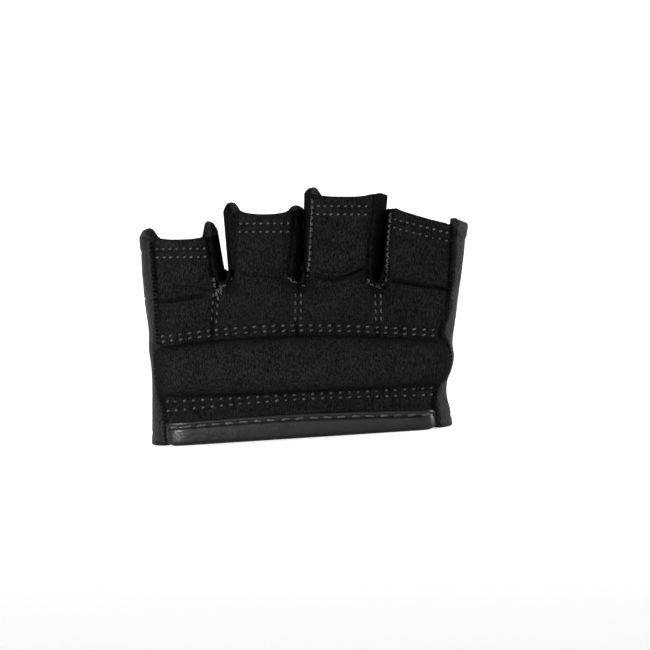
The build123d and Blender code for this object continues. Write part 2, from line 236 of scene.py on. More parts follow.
def tube_point(stall, turn, w):
    """(u, y) on a tube's outline at an angle: -90 degrees is the palm, 0 the thumb side, 90 the back."""
    middle, half = tube(stall, w)
    c, s = np.cos(turn), np.sin(turn)
    power = 2 / TUBE_POWER
    u = middle + half * np.sign(c) * np.abs(c) ** power
    return u, TUBE_MIDDLE_Y + TUBE_HALF_Y * np.sign(s) * np.abs(s) ** power


def stall_core(stall, y, w):
    """A place inside a stall, which tells the outside of its cloth from the inside."""
    return to_row(tube(stall, 55)[0], y, w)


def seam_u(stall, side, w):
    """Place across the fingers, at height w, of a stall's palm seam on one side."""
    return through(stall["seam_left" if side == LEFT else "seam_right"], w)


def seam_turn(stall, side, w):
    """Angle on a tube's outline of its palm seam on one side."""
    middle, half = tube(stall, w)
    across = np.clip((seam_u(stall, side, w) - middle) / half, -0.99, 0.99)
    return -np.arccos(np.sign(across) * np.abs(across) ** (TUBE_POWER / 2))


def rim_chord(stall, across):
    """Height of the line that the hem stitches keep to, at across from -1 (left seam) to 1 (right seam)."""
    return stall["rim"] + stall["rim_tilt"] * (stall["right"][1] - stall["left"][1]) / 2 * across


def front_rim(stall, across):
    """Height of a stall's rim on the palm side: it sags between its seams."""
    return rim_chord(stall, across) + stall["dip"] * np.abs(across) ** 2.5


BACK_DIP = -1.0  # the rim behind the finger, against the palm side


def rim_at(stall, turn):
    """Height of a stall's rim at an angle of its outline: it rises along the walls and dips at the back."""
    across = np.sign(np.cos(turn)) * np.abs(np.cos(turn)) ** (2 / TUBE_POWER)
    height = np.degrees(np.arcsin(np.clip(np.sin(turn), -1, 1)))
    rises = []
    for seam, wall, corner in (stall["left_rise"], stall["right_rise"]):
        knots = [(-60, seam), (-30, (seam + wall) / 2), (0, wall), (30, corner * 0.9), (45, corner)]
        rises.append(through(knots + [(68, BACK_DIP), (90, BACK_DIP)], height))
    share = smooth((across + 0.6) / 1.2)
    return front_rim(stall, across) + rises[0] * (1 - share) + rises[1] * share


CREASE_DEPTH, CREASE_WIDTH = 1.7, 0.36
CREASE_FADE = 3  # a crease fades out over this much at each end


def crease_depth(stall, u, w):
    """How far the creases at the foot of a stall push the cloth in, between two raised lips."""
    depth = np.zeros(np.broadcast(u, w).shape)
    for knots, amount in stall["creases"]:
        first, last = knots[0][0], knots[-1][0]
        reach = smooth((u - first) / CREASE_FADE + 0.3) * smooth((last - u) / CREASE_FADE + 0.3)
        off = w - through(knots, u)
        lips = 0.5 * groove(off - 1.3, 0.9) + 0.45 * groove(off + 1.4, 1.0)
        depth += amount * reach * (CREASE_DEPTH * groove(off, CREASE_WIDTH) - lips)
    return depth


HEM_ROWS = (2.6, 5.1)  # hem stitches, below the rim
PAD_ROWS = (0.8, 2.4)  # rows above the pad
ROW_DEPTH = 0.22  # a row of stitches pulls the stalls' fabric in by this much
LOW_ROW_DEPTH = 0.3
CHANNEL_ASIDE = 0.85  # each of a channel's two rows, from its middle
CHANNEL_DEPTH, CHANNEL_WIDTH = 0.8, 0.9
STRIP_PUFF = 0.75  # the strips stand out between their channels


def palm_face(name, u, w):
    """Row-frame points on a finger's palm strip, from the pad's upper edge to the rim."""
    stall = STALLS[name]
    u, w = np.broadcast_arrays(np.asarray(u, float), w)
    left, right = seam_u(stall, LEFT, w), seam_u(stall, RIGHT, w)
    across = np.clip(2 * (u - left) / (right - left) - 1, -1, 1)
    x, _, z = np.moveaxis(to_row(u, 0.0, w), -1, 0)
    above_pad = z - through(PAD_TOP, x)
    puffed = (1 - np.abs(across) ** 3) * smooth((above_pad - 2.5) / 4)
    low = body_y(x, z, PALM_SIDE) - STRIP_PUFF * puffed
    for side, off in ((LEFT, u - left), (RIGHT, right - u)):
        if OUTER_SIDE.get(name) != side:
            low = low + CHANNEL_DEPTH * groove(off, CHANNEL_WIDTH)
    turn = smooth((w - BODY_ENDS) / (TUBE_STARTS - BODY_ENDS))
    y = low * (1 - turn) + tube_front_y(stall, u, w) * turn + crease_depth(stall, u, w)
    below = rim_chord(stall, across) - w
    rows = [below - drop for drop in HEM_ROWS] + [above_pad - rise for rise in PAD_ROWS]
    y = y + ROW_DEPTH * sum(groove(row) for row in rows)
    y = y - 0.25 * groove(below - sum(HEM_ROWS) / 2, 0.9)
    y = y - ROW_DEPTH * smooth((HEM_ROWS[1] + 1.2 - below) / 0.8)  # the hem is doubled
    points = to_row(u, y, w)
    points[..., 1] += 0.16 * wobble(points, 7.0, 3.1) + 0.05 * wobble(points, 2.2, 9.7)
    return points


def lower_face(x, z):
    """Row-frame points on the palm fabric below the stalls' strips."""
    x, z = np.broadcast_arrays(np.asarray(x, float), z)
    upper_row, lower_row = (through(row, x) for row in LOW_ROWS)
    between = groove((upper_row + lower_row) / 2 - z, 0.6)
    sewn_in = groove(upper_row - z) + groove(lower_row - z) - between
    points = np.stack([x, body_y(x, z, PALM_SIDE) + LOW_ROW_DEPTH * sewn_in, z], -1)
    points[..., 1] += 0.12 * wobble(points, 8.0, 5.5)
    return points


# ---- mesh helpers ----
def shares(rows, cols, up_from=0, across_from=0):
    """Two grids of numbers that end at 1: one grows over the rows, the other over the columns."""
    return np.meshgrid(np.linspace(up_from, 1, rows), np.linspace(across_from, 1, cols), indexing="ij")


def finish_mesh(name, vertices, faces):
    """A smooth-shaded closed mesh in metres, from millimetre vertices."""
    mesh = bpy.data.meshes.new(name)
    mesh.from_pydata((np.asarray(vertices) * MM).tolist(), [], [list(map(int, f)) for f in faces])
    work = bmesh.new()
    work.from_mesh(mesh)
    bmesh.ops.recalc_face_normals(work, faces=work.faces)
    work.to_mesh(mesh)
    work.free()
    mesh.shade_smooth()
    return add_object(name, mesh)


def add_object(name, data):
    """Puts a mesh, light or camera into the scene."""
    added = bpy.data.objects.new(name, data)
    bpy.context.scene.collection.objects.link(added)
    return added


def unit(vectors):
    """Vectors at length one."""
    return vectors / np.maximum(np.linalg.norm(vectors, axis=-1, keepdims=True), 1e-9)


def grid_normals(points, core):
    """Normals of a grid of points, facing away from core."""
    normals = unit(np.cross(np.gradient(points, axis=0), np.gradient(points, axis=1)))
    outward = np.sum(normals * (points - np.asarray(core, float)))
    return normals if outward > 0 else -normals


def grid_faces(index):
    """The four-sided faces between a grid of vertex numbers."""
    corners = [index[:-1, :-1], index[:-1, 1:], index[1:, 1:], index[1:, :-1]]
    return np.stack(corners, -1).reshape(-1, 4).tolist()


def sink(points, core, left, right, width=0.8):
    """Turns the side edges of a grid inwards, by depths left and right, so that a seam lies in a groove."""
    normals = grid_normals(points, core)
    run = np.cumsum(np.linalg.norm(np.diff(points, axis=1), axis=2), axis=1)
    run = np.concatenate([np.zeros((len(points), 1)), run], axis=1)
    depth = left * groove(run, width) + right * groove(run[:, -1:] - run, width)
    return points - normals * depth[..., None]


ROUND_STEPS = 3
ROUND_REACH = 0.8  # a rounded edge reaches this share of half the thickness past the outline


def sheet(name, points, thickness, core):
    """Cloth of some thickness with rounded edges, whose outer face is a grid of points."""
    rows, cols = points.shape[:2]
    normals = grid_normals(points, core)
    thick = np.broadcast_to(np.asarray(thickness, float), (rows, cols))[..., None]
    edge = [(0, j) for j in range(cols)] + [(i, cols - 1) for i in range(1, rows)]
    edge += [(rows - 1, j) for j in range(cols - 2, -1, -1)] + [(i, 0) for i in range(rows - 2, 0, -1)]
    at = tuple(np.array(edge).T)
    next_in = np.clip(at[0], 1, rows - 2), np.clip(at[1], 1, cols - 2)
    out = unit(points[at] - points[next_in])
    half = thick[at] / 2
    middle = points[at] - normals[at] * half
    vertices = [points.reshape(-1, 3), (points - normals * thick).reshape(-1, 3)]
    for step in range(1, ROUND_STEPS + 1):
        turn = math.pi * step / (ROUND_STEPS + 1)
        arc = normals[at] * math.cos(turn) + out * ROUND_REACH * math.sin(turn)
        vertices.append(middle + half * arc)
    index = np.arange(rows * cols).reshape(rows, cols)
    faces = grid_faces(index) + grid_faces(index + rows * cols)
    rings = [(2 * rows * cols + step * len(edge)) + np.arange(len(edge)) for step in range(ROUND_STEPS)]
    levels = [index[at], *rings, index[at] + rows * cols]
    for upper, lower in zip(levels, levels[1:]):
        faces += np.stack([upper, np.roll(upper, -1), np.roll(lower, -1), lower], -1).tolist()
    return finish_mesh(name, np.concatenate(vertices), faces)


THREAD_SIDES, THREAD_RINGS = 6, 7


def threads(name, stitches):
    """One mesh of stitches, each (middle, direction, normal, length, radius), which dive in at both ends."""
    vertices, faces = [], []
    for middle, direction, normal, length, radius in stitches:
        side = np.cross(direction, normal)
        start = len(vertices)
        for ring in range(THREAD_RINGS):
            share = ring / (THREAD_RINGS - 1) * 2 - 1
            centre = middle + direction * (share * length / 2) + normal * radius * (1.0 - 1.5 * share**4)
            width = radius * (1 - 0.45 * share**6)
            for k in range(THREAD_SIDES):
                turn = 2 * math.pi * k / THREAD_SIDES
                vertices.append(centre + width * (side * math.cos(turn) + normal * math.sin(turn)))
        for ring in range(THREAD_RINGS - 1):
            for k in range(THREAD_SIDES):
                a = start + ring * THREAD_SIDES + k
                b = start + ring * THREAD_SIDES + (k + 1) % THREAD_SIDES
                faces.append((a, b, b + THREAD_SIDES, a + THREAD_SIDES))
        last = start + (THREAD_RINGS - 1) * THREAD_SIDES
        faces.append(tuple(range(start, start + THREAD_SIDES)))
        faces.append(tuple(range(last, last + THREAD_SIDES)))
    return finish_mesh(name, vertices, faces)


def sew(face, a, b, facing, pitch, length, radius=0.26, slant=0.0, seed=1):
    """Stitches along the places (a, b) on a face, in the form that threads takes.

    face(a, b) gives row-frame points, and facing is a direction out of it. slant turns each stitch off its
    row, in degrees, and seed varies the stitches a little.
    """
    pick = random.Random(seed)
    place = np.stack(np.broadcast_arrays(np.asarray(a, float), b), -1)
    points = face(place[:, 0], place[:, 1])
    run = np.concatenate([[0], np.cumsum(np.linalg.norm(np.diff(points, axis=0), axis=1))])
    count = max(int((run[-1] - length) // pitch) + 1, 1)
    first = (run[-1] - (count - 1) * pitch) / 2
    step = 0.15  # for the slope of the face
    stitches = []
    for i in range(count):
        at = first + i * pitch + pick.uniform(-0.08, 0.08)
        here, ahead = (
            np.array([np.interp(s, run, points[:, k]) for k in range(3)]) for s in (at, at + 0.3)
        )
        p, q = (np.interp(at, run, place[:, k]) for k in range(2))
        patch = face(np.array([p - step, p + step, p, p]), np.array([q, q, q - step, q + step]))
        normal = unit(np.cross(patch[1] - patch[0], patch[3] - patch[2]))
        if normal @ np.asarray(facing, float) < 0:
            normal = -normal
        along = unit(ahead - here)
        turn = math.radians(slant + pick.uniform(-5, 5))
        direction = unit(along * math.cos(turn) + np.cross(normal, along) * math.sin(turn))
        size = length * pick.uniform(0.88, 1.08)
        stitches.append((here, direction, normal, size, radius * pick.uniform(0.9, 1.08)))
    return stitches


# ---- materials ----
def new_material(name):
    """An empty node material, its tree and its Principled shader."""
    material = bpy.data.materials.new(name)
    material.use_nodes = True
    return material, material.node_tree, material.node_tree.nodes["Principled BSDF"]


def set_inputs(node, **inputs):
    """Sets a node's inputs; a name's spaces are written as underscores."""
    for key, value in inputs.items():
        node.inputs[key.replace("_", " ")].default_value = value


def texture(tree, kind, scale, stretch=(1, 1, 1), **inputs):
    """A texture node in object space, so that it stays with its piece."""
    coords = tree.nodes.new("ShaderNodeTexCoord")
    mapping = tree.nodes.new("ShaderNodeMapping")
    node = tree.nodes.new(kind)
    set_inputs(mapping, Scale=stretch)
    set_inputs(node, Scale=scale, **inputs)
    tree.links.new(coords.outputs["Object"], mapping.inputs["Vector"])
    tree.links.new(mapping.outputs["Vector"], node.inputs["Vector"])
    return node


def ramp(tree, source, stops):
    """Maps a value through (place, grey level) stops; greys are very slightly blue."""
    node = tree.nodes.new("ShaderNodeValToRGB")
    elements = node.color_ramp.elements
    while len(elements) < len(stops):
        elements.new(0.5)
    for element, (place, level) in zip(elements, stops):
        element.position = place
        element.color = (level, level, level * 1.02, 1)
    tree.links.new(source, node.inputs["Fac"])
    return node.outputs["Color"]


def mix_values(tree, operation, a, b):
    """Combines two values, or a value and a number."""
    node = tree.nodes.new("ShaderNodeMath")
    node.operation = operation
    for socket, source in zip(node.inputs, (a, b)):
        if isinstance(source, (int, float)):
            socket.default_value = source
        else:
            tree.links.new(source, socket)
    return node.outputs[0]


def add_bump(tree, shader, height, depth_mm):
    """Bump of a height value over the whole shader."""
    bump = tree.nodes.new("ShaderNodeBump")
    set_inputs(bump, Distance=depth_mm * MM)
    tree.links.new(height, bump.inputs["Height"])
    tree.links.new(bump.outputs["Normal"], shader.inputs["Normal"])


def knit(name, dark, light):
    """Matt knitted fabric: upright ribs, fuzzy loops, patches of uneven tone, and painted shade that darkens
    it where it turns away from the view.
    """
    material, tree, shader = new_material(name)
    loops = texture(tree, "ShaderNodeTexNoise", 1800, (1.5, 1.5, 0.6), Detail=2.0, Roughness=0.6)
    ribs = texture(tree, "ShaderNodeTexWave", 640, Distortion=2.0, Detail=2.0)
    patches = texture(tree, "ShaderNodeTexNoise", 160, Detail=3.0)
    height = mix_values(tree, "ADD", loops.outputs[0], mix_values(tree, "MULTIPLY", ribs.outputs[1], 0.3))
    shade = mix_values(tree, "ADD", loops.outputs[0], mix_values(tree, "MULTIPLY", patches.outputs[0], 0.12))
    shade = mix_values(tree, "ADD", shade, mix_values(tree, "MULTIPLY", ribs.outputs[1], 0.05))
    # painted shade: the colour is darkened where the cloth turns away from the view, standing in for the
    # shade on the pad's shoulders and other turned-away cloth
    facing = tree.nodes.new("ShaderNodeLayerWeight")
    set_inputs(facing, Blend=0.5)
    away = mix_values(tree, "MULTIPLY", mix_values(tree, "POWER", facing.outputs["Facing"], 1.5), 0.28)
    shade = mix_values(tree, "SUBTRACT", shade, away)
    colour = ramp(tree, shade, [(0.42, dark), (0.56, dark + (light - dark) * 0.35), (0.74, light)])
    tree.links.new(colour, shader.inputs["Base Color"])
    set_inputs(shader, Roughness=0.95, Specular_IOR_Level=0.05)
    add_bump(tree, shader, height, 0.3)
    return material


def leather(name, dark, light, rough, grain_mm, gloss=0.22):
    """Satin synthetic leather: fine pebbled grain, soft creases and uneven polish."""
    material, tree, shader = new_material(name)
    grain = texture(tree, "ShaderNodeTexVoronoi", 1300)
    soft = texture(tree, "ShaderNodeTexNoise", 420, Detail=5.0)
    patches = texture(tree, "ShaderNodeTexNoise", 90, Detail=4.0, Roughness=0.6)
    height = mix_values(tree, "ADD", grain.outputs[0], mix_values(tree, "MULTIPLY", soft.outputs[0], 1.6))
    colour = ramp(tree, patches.outputs[0], [(0.3, dark), (0.7, light)])
    polish = ramp(tree, patches.outputs[0], [(0.3, rough[1]), (0.7, rough[0])])
    tree.links.new(colour, shader.inputs["Base Color"])
    tree.links.new(polish, shader.inputs["Roughness"])
    set_inputs(shader, Specular_IOR_Level=gloss)
    add_bump(tree, shader, height, grain_mm)
    return material


def thread_material(name, level, shine=1.0):
    """Spun thread: a fine slanting twist and a little sheen."""
    material, tree, shader = new_material(name)
    twist = texture(tree, "ShaderNodeTexWave", 900, Distortion=1.0)
    twist.bands_direction = "DIAGONAL"
    fuzz = texture(tree, "ShaderNodeTexNoise", 420, Detail=4.0, Roughness=0.7)
    colour = ramp(tree, fuzz.outputs[0], [(0.35, level * 0.35), (0.65, level * 1.8)])
    tree.links.new(colour, shader.inputs["Base Color"])
    set_inputs(shader, Roughness=0.55, Specular_IOR_Level=0.5 * shine, Sheen_Weight=0.4 * shine)
    add_bump(tree, shader, twist.outputs[1], 0.08)
    return material


PALM = knit("palm_knit", 0.002, 0.021)
PAD_COVER = knit("pad_cover_knit", 0.003, 0.024)
GUSSET = knit("gusset_knit", 0.001, 0.012)
LINING = knit("lining_knit", 0.001, 0.008)
LEATHER = leather("leather", 0.0025, 0.008, rough=(0.48, 0.62), grain_mm=0.26)
TRIM = leather("trim_leather", 0.003, 0.011, rough=(0.3, 0.4), grain_mm=0.06, gloss=0.55)
THREAD = thread_material("thread", 0.052)
SEAM_THREAD = thread_material("seam_thread", 0.0025, shine=0.08)


def install(piece, material, slot_name, *nodes, finger=None):
    """Gives a piece its material, hides the CAD nodes it replaces, and fixes it to the sleeve; with a finger,
    it only bakes the piece's placement into its mesh. slot_name is not used."""
    piece.data.materials.clear()
    piece.data.materials.append(material)
    if nodes:
        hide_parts(*nodes)
    if not finger:
        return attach(piece, "sleeve")
    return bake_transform(piece)


# ---- palm side ----
FABRIC = 1.5
HEM_FOLD = 2.3  # doubled cloth at a stall's rim
GAP = 0.55  # a sheet's rounded edge reaches this far past its outline
STRIP_FOOT = 33  # height at which the strips' lower corners are taken
PARTED = 48.5  # above this the strips have gusset walls beside them
SLEEVE_CORE = (0, 30, 15)


def palm_strip(name):
    """One finger's strip of palm fabric, from under the pad's edge to the rim."""
    stall = STALLS[name]
    share, side = shares(120, 44, across_from=-1)
    rim = front_rim(stall, side) - GAP
    foot_left, foot_right = seam_u(stall, LEFT, STRIP_FOOT), seam_u(stall, RIGHT, STRIP_FOOT)
    foot_x = (foot_left * (1 - side) / 2 + foot_right * (1 + side) / 2) * LEAN_COS + STRIP_FOOT * LEAN_SIN
    bottom = to_finger(foot_x, through(PAD_TOP, foot_x) - 1.2)[1]
    w = bottom + (rim - bottom) * share
    free = smooth((w - PARTED) / 2)
    trims, depths = [], []
    for edge in (LEFT, RIGHT):
        at_side_seam = OUTER_SIDE.get(name) == edge
        trims.append(0.5 if at_side_seam else 0.12 + 0.25 * free)
        depths.append(1.0 if at_side_seam else 0.5 * free)
    left, right = seam_u(stall, LEFT, w) + trims[0], seam_u(stall, RIGHT, w) - trims[1]
    points = palm_face(name, left + (right - left) * (side + 1) / 2, w)
    thick = FABRIC + (HEM_FOLD - FABRIC) * smooth((w - rim + HEM_ROWS[1] + 1) / 0.8)
    core = stall_core(stall, 30.0, 50.0)
    piece = sheet(f"{name}_palm_fabric", sink(points, core, *depths), thick, core)
    return install(piece, PALM, "palm_fabric", f"{name}_palm_sleeve", finger=name)


def lower_palm():
    """The palm fabric from the hem to under the pad, and on behind the lower ends of the fingers' strips."""
    bottom, top, behind_from, behind = 1.6, 35.0, 27.5, 1.3
    up, across = shares(40, 110)
    z = bottom + (top - bottom) * up
    left, right = through(SIDE_SEAM[LEFT], z) + 0.5, through(SIDE_SEAM[RIGHT], z) - 0.5
    points = lower_face(left + (right - left) * across, z)
    points[..., 1] += behind * smooth((z - behind_from) / 2)
    piece = sheet("palm_fabric", sink(points, SLEEVE_CORE, 1.0, 1.0), FABRIC, SLEEVE_CORE)
    return install(piece, PALM, "palm_fabric", "palm_panel")


for finger in FINGERS:
    palm_strip(finger)
lower_palm()

# ---- pads ----
PAD_HEIGHT, PAD_LENGTH, PAD_BREADTH = 6.0, 89, 17.5
SHOULDER = 5.5
SWELL_LIMIT = 0.9  # how far the simulation may move a point
SWELL_FRAMES = 20
VOXEL = 1.1


def dome(share_a, share_b, length_a, length_b, shoulder):
    """Height, 0 to 1, of a pad at shares of its two lengths: flat in the middle, round at its edges."""
    height = 1.0
    for share, length in ((share_a, length_a), (share_b, length_b)):
        for edge in (share, 1 - share):
            in_edge = np.clip(1 - edge * length / shoulder, 0, 1)
            height = height * np.sqrt(np.maximum(1 - in_edge**2.2, 0))
    return height


def pad_solid(name, outer, inner):
    """A closed solid between two grids of points that meet at their edges."""
    rows, cols = outer.shape[:2]
    front = np.arange(rows * cols).reshape(rows, cols)
    back = front + rows * cols
    faces = grid_faces(front) + grid_faces(back)
    for border in (np.s_[0], np.s_[-1], np.s_[:, 0], np.s_[:, -1]):
        a, b = front[border], back[border]
        faces += np.stack([a[:-1], a[1:], b[1:], b[:-1]], -1).tolist()
    return finish_mesh(name, np.concatenate([outer.reshape(-1, 3), inner.reshape(-1, 3)]), faces)


def vertices_of(piece):
    """A mesh's vertices as an array, in metres."""
    places = np.zeros(len(piece.data.vertices) * 3)
    piece.data.vertices.foreach_get("co", places)
    return places.reshape(-1, 3)


def apply_modifiers(piece):
    """Replaces a piece's mesh by what its modifiers make of it."""
    graph = bpy.context.evaluated_depsgraph_get()
    graph.update()
    mesh = bpy.data.meshes.new_from_object(piece.evaluated_get(graph))
    piece.modifiers.clear()
    piece.data = mesh


def swell(piece):
    """Lets the cloth simulation swell and wrinkle a pad's cover, like cloth over foam."""
    rest = vertices_of(piece)
    cloth = piece.modifiers.new("cover", "CLOTH")
    cloth.settings.use_pressure = True
    cloth.settings.uniform_pressure_force = 4.0
    cloth.settings.effector_weights.gravity = 0.0
    cloth.settings.quality = 6
    cloth.point_cache.frame_start, cloth.point_cache.frame_end = 1, SWELL_FRAMES
    for number in range(1, SWELL_FRAMES + 1):
        bpy.context.scene.frame_set(number)
    apply_modifiers(piece)
    bpy.context.scene.frame_set(1)
    moved = vertices_of(piece) - rest
    length = np.linalg.norm(moved, axis=1, keepdims=True)
    moved *= np.minimum(1, SWELL_LIMIT * MM / np.maximum(length, 1e-9))
    piece.data.vertices.foreach_set("co", (rest + moved).ravel())


def puff(piece):
    """Evens out a pad's mesh, swells it and smooths it."""
    remesh = piece.modifiers.new("even", "REMESH")
    remesh.mode = "VOXEL"
    remesh.voxel_size = VOXEL * MM
    apply_modifiers(piece)
    swell(piece)
    relax = piece.modifiers.new("relax", "CORRECTIVE_SMOOTH")
    relax.iterations, relax.factor, relax.use_only_smooth = 6, 0.6, True
    finer = piece.modifiers.new("finer", "SUBSURF")
    finer.levels = finer.render_levels = 1
    apply_modifiers(piece)
    piece.data.shade_smooth()
    return piece


def palm_pad():
    """The foam bar across the palm: a flat crown, steep shoulders and rounded ends."""
    up, side = shares(26, 90)
    bow = np.sqrt(np.maximum(1 - (2 * up - 1) ** 2, 0))
    left, right = -44.3 - 0.7 * bow, 44.4 + 4.1 * bow
    x = left + (right - left) * side
    low, high = through(PAD_BOTTOM, x), through(PAD_TOP, x)
    z = low + (high - low) * up
    height = dome(up, side, PAD_BREADTH, PAD_LENGTH, SHOULDER) * PAD_HEIGHT
    height = height * (1 + 0.05 * np.sin(math.pi * up))
    base = body_y(x, z, PALM_SIDE)
    outer = np.stack([x, base - 0.1 - height, z], -1)
    outer[..., 1] += 0.2 * wobble(outer, 11, 2.2) * dome(up, side, PAD_BREADTH, PAD_LENGTH, 3.0)
    inner = np.stack([x, base + 0.9 * smooth(height / 2), z], -1)
    piece = puff(pad_solid("palm_pad", outer, inner))
    return install(piece, PAD_COVER, "palm_fabric", "palm_pad_cover", "palm_pad_foam")


palm_pad()

# ---- gussets and webs ----
GUSSET_BACK_Y = 3.0
GUSSET_THICK = 1.3
GUSSET_FOOT = 47.2
WEB_THICK = 1.1
WEB_FRONT_Y, WEB_BACK_Y = -11.6, GUSSET_BACK_Y + 3.5
WEB_FLOOR, WEB_TOP = 47.4, 51.5
WEB_SEAM_FROM = 50.2  # the web's front edges keep to the strips' seams at this height and above
WEB_CLEAR = 0.15


def back_turn(side):
    """Angle on a tube's outline of the back edge of the gusset on one side."""
    s = ((GUSSET_BACK_Y - TUBE_MIDDLE_Y) / TUBE_HALF_Y) ** (TUBE_POWER / 2)
    return math.asin(s) if side == RIGHT else math.pi - math.asin(s)


def gusset(name, side):
    """The dark cloth wall on one side of a stall, from just behind its palm seam to its back."""
    stall = STALLS[name]
    share, across = shares(44, 22)
    bottom = GUSSET_FOOT + across
    w = bottom + (stall["rim"] - bottom) * share
    for _ in range(2):  # the rim's height depends on the angle, and the seam's angle on the height
        start = seam_turn(stall, side, w) + (2 * math.pi if side == LEFT else 0)
        turn = start + (back_turn(side) - start) * (across * 1.06 - 0.06)
        w = bottom + (rim_at(stall, turn) - GAP - bottom) * share
    u, y = tube_point(stall, turn, w)
    points = to_row(u, y, w)
    points[..., 0] -= side * (0.03 + 0.2 * np.abs(wobble(points, 6.0, 7.7)) * (1 - np.abs(np.cos(turn)) ** 4))
    core = stall_core(stall, -3.0, 55.0)
    label = "left" if side == LEFT else "right"
    piece = sheet(f"{name}_{label}_gusset_cloth", sink(points, core, 1.0, 0.0), GUSSET_THICK, core)
    return install(piece, GUSSET, "gusset_fabric", f"{name}_{label}_gusset", finger=name)


def web(left_name, right_name):
    """The saddle at the bottom of the notch between two stalls."""
    left, right = STALLS[left_name], STALLS[right_name]
    around, depth = shares(31, 22, up_from=-1)
    floor = WEB_FLOOR + 1.4 * depth
    w = floor + (WEB_TOP - floor) * np.abs(around) ** 2.4
    y = WEB_FRONT_Y + (WEB_BACK_Y - WEB_FRONT_Y) * depth
    front_left = seam_u(left, RIGHT, np.maximum(w, WEB_SEAM_FROM))
    front_right = seam_u(right, LEFT, np.maximum(w, WEB_SEAM_FROM))
    wall_left = tube(left, w)[0] + tube(left, w)[1] + WEB_CLEAR
    wall_right = tube(right, w)[0] - tube(right, w)[1] - WEB_CLEAR
    narrow = smooth(depth / 0.35)
    low_u = front_left * (1 - narrow) + (wall_left - 0.9) * narrow
    high_u = front_right * (1 - narrow) + (wall_right + 0.9) * narrow
    u = (low_u + high_u) / 2 + (high_u - low_u) / 2 * np.sin(around * math.pi / 2)
    above = to_row(float((low_u + high_u).mean() / 2), -4.0, 90.0)
    piece = sheet(f"{left_name}_{right_name}_web_cloth", to_row(u, y, w), WEB_THICK, above)
    return install(piece, GUSSET, "gusset_fabric", f"{left_name}_{right_name}_web")


for left_finger, right_finger in NEIGHBOURS:
    gusset(left_finger, RIGHT)
    gusset(right_finger, LEFT)
    web(left_finger, right_finger)

# ---- back ----
BACK_SPLIT = 43.0  # height of the seam where the four stall backs are sewn to the back panel
BACK_CORE = (2, 0, 20)
LEATHER_THICK = 1.4
SEAM_LAP = 0.7  # the leather runs on under the palm fabric's edge
TURN_SHARE = 0.2  # share of the way round the back that each rounded side takes
STALL_TURN_SHARE = 0.45  # the same, round the back of the little or index stall
BACK_ROW = 3.5  # stitches on the back, above the hem
STALL_BACK_ROW = 4.2  # and below each stall's rim


def side_seam_angle(side, z):
    """Angle of a side seam on the sleeve's rounded edge, from straight sideways towards the palm."""
    seam = through(SIDE_SEAM[side], z) - side * SEAM_LAP
    past = np.clip(side * (seam - through(BODY_EDGE[side], z)) / through(BODY_CAP, z) + 1, 0.02, 0.99)
    return np.arccos(past ** (CAP_POWER / 2))


def flat_edge(side, z):
    """Place where the flat back starts to turn into a rounded side."""
    return through(BODY_EDGE[side], z) - side * through(BODY_CAP, z)


def side_turn(side, share, z):
    """(x, y) on a rounded side of the sleeve, from its side seam (share 0) to its flat back (share 1)."""
    start = -side_seam_angle(side, z)
    angle = start + (math.pi / 2 - start) * share  # 90 degrees is the back, 0 sideways
    back = through(BODY_BACK, z)
    middle, half = (back + FRONT_Y) / 2, (back - FRONT_Y) / 2
    power = 2 / CAP_POWER
    x = flat_edge(side, z) + side * through(BODY_CAP, z) * np.abs(np.cos(angle)) ** power
    return x, middle + half * np.sign(np.sin(angle)) * np.abs(np.sin(angle)) ** power


def back_outline(share, z):
    """(x, y) round the back from the left side seam (share 0) to the right one (share 1), at height z."""
    left_x, left_y = side_turn(LEFT, np.clip(share / TURN_SHARE, 0, 1), z)
    right_x, right_y = side_turn(RIGHT, np.clip((1 - share) / TURN_SHARE, 0, 1), z)
    middle = np.clip((share - TURN_SHARE) / (1 - 2 * TURN_SHARE), 0, 1)
    x = flat_edge(LEFT, z) + (flat_edge(RIGHT, z) - flat_edge(LEFT, z)) * middle
    y = body_y(x, z, BACK_SIDE)
    on_left, on_right = share < TURN_SHARE, share > 1 - TURN_SHARE
    x = np.where(on_left, left_x, np.where(on_right, right_x, x))
    return x, np.where(on_left, left_y, np.where(on_right, right_y, y))


def back_face(share, z):
    """Row-frame points on the back leather."""
    share, z = np.broadcast_arrays(np.asarray(share, float), z)
    x, y = back_outline(share, z)
    points = np.stack([x, y, z], -1)
    push = unit(np.stack([x * 0.12, y, 0 * z], -1))
    calm = 1 - groove(to_finger(x, z)[1] - BACK_SPLIT, 4.0)
    ripple = 0.15 * calm * wobble(points, 9.0, 4.4) - 0.25 * groove(z - BACK_ROW)
    return points + push * ripple[..., None]


def back_grid(rows, cols, margin, bottom, past_split):
    """Points on the back leather, from a height above the hem to a little past the seam under the stalls."""
    up, share = shares(rows, cols)
    share = margin + (1 - 2 * margin) * share
    x, _ = back_outline(share, 40.0)
    top = (BACK_SPLIT + past_split - x * LEAN_SIN) / LEAN_COS
    return back_face(share, bottom + (top - bottom) * up)


def back_panel():
    """The leather back with both its sides, from the hem to under the stall backs."""
    points = back_grid(46, 150, 0.004, 0.75, 1.5)
    tuck = 1.8 * smooth((to_finger(points[..., 0], points[..., 2])[1] - BACK_SPLIT) / 0.7)
    points = points - grid_normals(points, BACK_CORE) * tuck[..., None]
    points = sink(points, BACK_CORE, 1.6, 1.6, 1.1)
    piece = sheet("back_leather", points, LEATHER_THICK, BACK_CORE)
    return install(piece, LEATHER, "leather", "back_panel")


